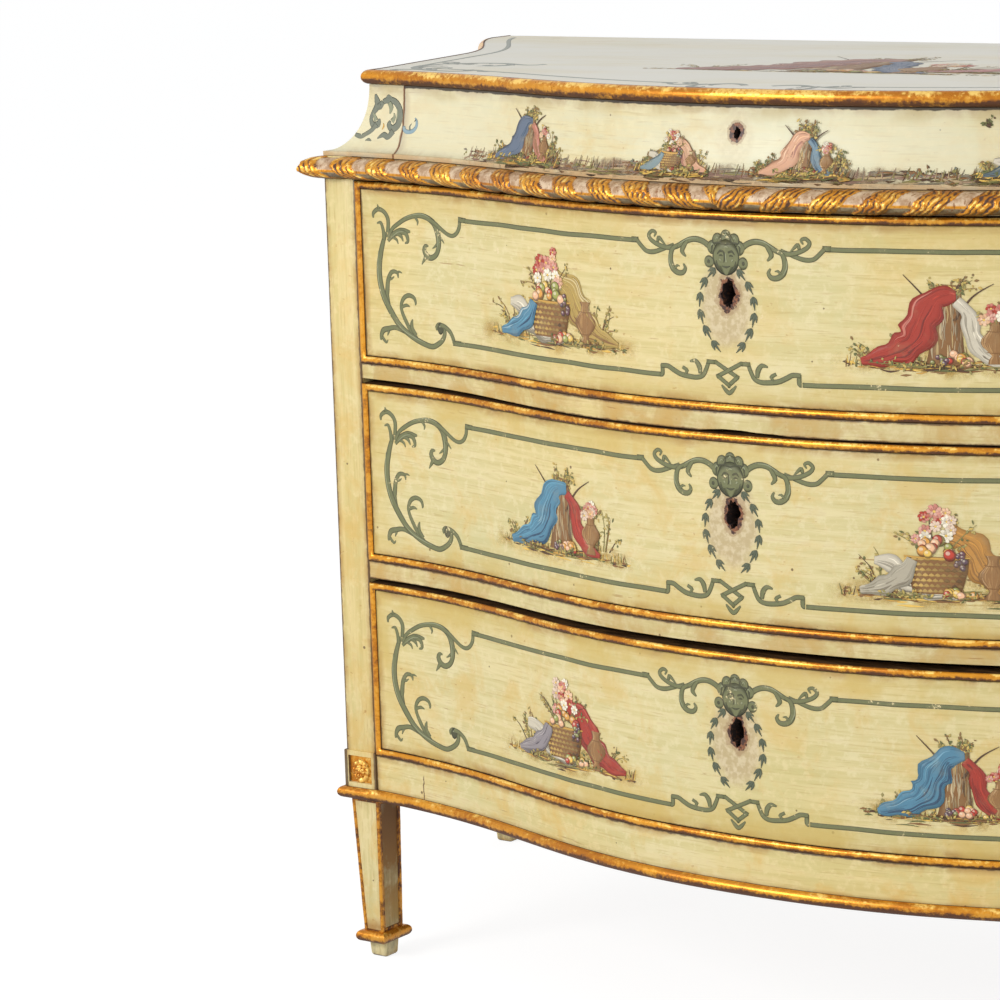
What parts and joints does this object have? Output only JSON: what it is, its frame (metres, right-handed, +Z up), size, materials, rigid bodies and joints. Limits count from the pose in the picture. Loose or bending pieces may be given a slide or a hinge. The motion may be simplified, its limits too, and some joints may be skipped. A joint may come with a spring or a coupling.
{
  "type": "chest of drawers",
  "caption": "Bow-fronted chest of drawers on tapered legs with a coved frieze drawer over deep drawers, cream painted with gilt mouldings.",
  "frame": {"origin": "middle of the footprint on the floor", "axes": "+X to the right seen from the front, +Y towards the back, -Y the bowed front, +Z up"},
  "size_m": [1.3584, 0.567, 0.88],
  "materials": {
    "cream_paint": "aged cream paint on gessoed wood, eggshell",
    "painted_top": "aged pale paint, waxed",
    "gilding": "worn gold leaf over red bole on carved wood",
    "bare_pine": "old bare softwood",
    "lock_iron": "dark forged iron"
  },
  "bodies": {
    "carcass": {"top_board": "painted_top", "top_edge_moulding": "gilding", "ribbon_moulding": "gilding", "base_moulding": "gilding", "rail_upper": "cream_paint", "rail_middle": "cream_paint", "rail_lower": "cream_paint", "apron": "cream_paint", "base_board": "bare_pine", "back_panel": "bare_pine", "frieze_corner_left": "cream_paint", "side_panel_left": "cream_paint", "front_post_left": "cream_paint", "back_post_left": "cream_paint", "rosette_left": "gilding", "frieze_runner_left": "bare_pine", "upper_runner_left": "bare_pine", "middle_runner_left": "bare_pine", "lower_runner_left": "bare_pine", "frieze_corner_right": "cream_paint", "side_panel_right": "cream_paint", "front_post_right": "cream_paint", "back_post_right": "cream_paint", "rosette_right": "gilding", "frieze_runner_right": "bare_pine", "upper_runner_right": "bare_pine", "middle_runner_right": "bare_pine", "lower_runner_right": "bare_pine"},
    "frieze_drawer": {"frieze_drawer_front": "cream_paint", "frieze_drawer_side_left": "bare_pine", "frieze_drawer_side_right": "bare_pine", "frieze_drawer_back": "bare_pine", "frieze_drawer_bottom": "bare_pine", "frieze_drawer_lock": "lock_iron"},
    "frieze_bolt": {"frieze_drawer_lock_bolt": "lock_iron"},
    "upper_drawer": {"upper_drawer_front": "cream_paint", "upper_drawer_bead": "gilding", "upper_drawer_side_left": "bare_pine", "upper_drawer_side_right": "bare_pine", "upper_drawer_back": "bare_pine", "upper_drawer_bottom": "bare_pine", "upper_drawer_lock": "lock_iron"},
    "upper_bolt": {"upper_drawer_lock_bolt": "lock_iron"},
    "middle_drawer": {"middle_drawer_front": "cream_paint", "middle_drawer_bead": "gilding", "middle_drawer_side_left": "bare_pine", "middle_drawer_side_right": "bare_pine", "middle_drawer_back": "bare_pine", "middle_drawer_bottom": "bare_pine", "middle_drawer_lock": "lock_iron"},
    "middle_bolt": {"middle_drawer_lock_bolt": "lock_iron"},
    "lower_drawer": {"lower_drawer_front": "cream_paint", "lower_drawer_bead": "gilding", "lower_drawer_side_left": "bare_pine", "lower_drawer_side_right": "bare_pine", "lower_drawer_back": "bare_pine", "lower_drawer_bottom": "bare_pine", "lower_drawer_lock": "lock_iron"},
    "lower_bolt": {"lower_drawer_lock_bolt": "lock_iron"}
  },
  "joints": [
    {"name": "frieze_drawer_slide", "type": "slide", "parent": "carcass", "child": "frieze_drawer", "axis": [0, -1, 0], "range_m": [0, 0.33]},
    {"name": "frieze_bolt_slide", "type": "slide", "parent": "frieze_drawer", "child": "frieze_bolt", "axis": [0, 0, 1], "range_m": [0, 0.0076]},
    {"name": "upper_drawer_slide", "type": "slide", "parent": "carcass", "child": "upper_drawer", "axis": [0, -1, 0], "range_m": [0, 0.33]},
    {"name": "upper_bolt_slide", "type": "slide", "parent": "upper_drawer", "child": "upper_bolt", "axis": [0, 0, 1], "range_m": [0, 0.0153]},
    {"name": "middle_drawer_slide", "type": "slide", "parent": "carcass", "child": "middle_drawer", "axis": [0, -1, 0], "range_m": [0, 0.33]},
    {"name": "middle_bolt_slide", "type": "slide", "parent": "middle_drawer", "child": "middle_bolt", "axis": [0, 0, 1], "range_m": [0, 0.0189]},
    {"name": "lower_drawer_slide", "type": "slide", "parent": "carcass", "child": "lower_drawer", "axis": [0, -1, 0], "range_m": [0, 0.33]},
    {"name": "lower_bolt_slide", "type": "slide", "parent": "lower_drawer", "child": "lower_bolt", "axis": [0, 0, 1], "range_m": [0, 0.0208]}
  ]
}
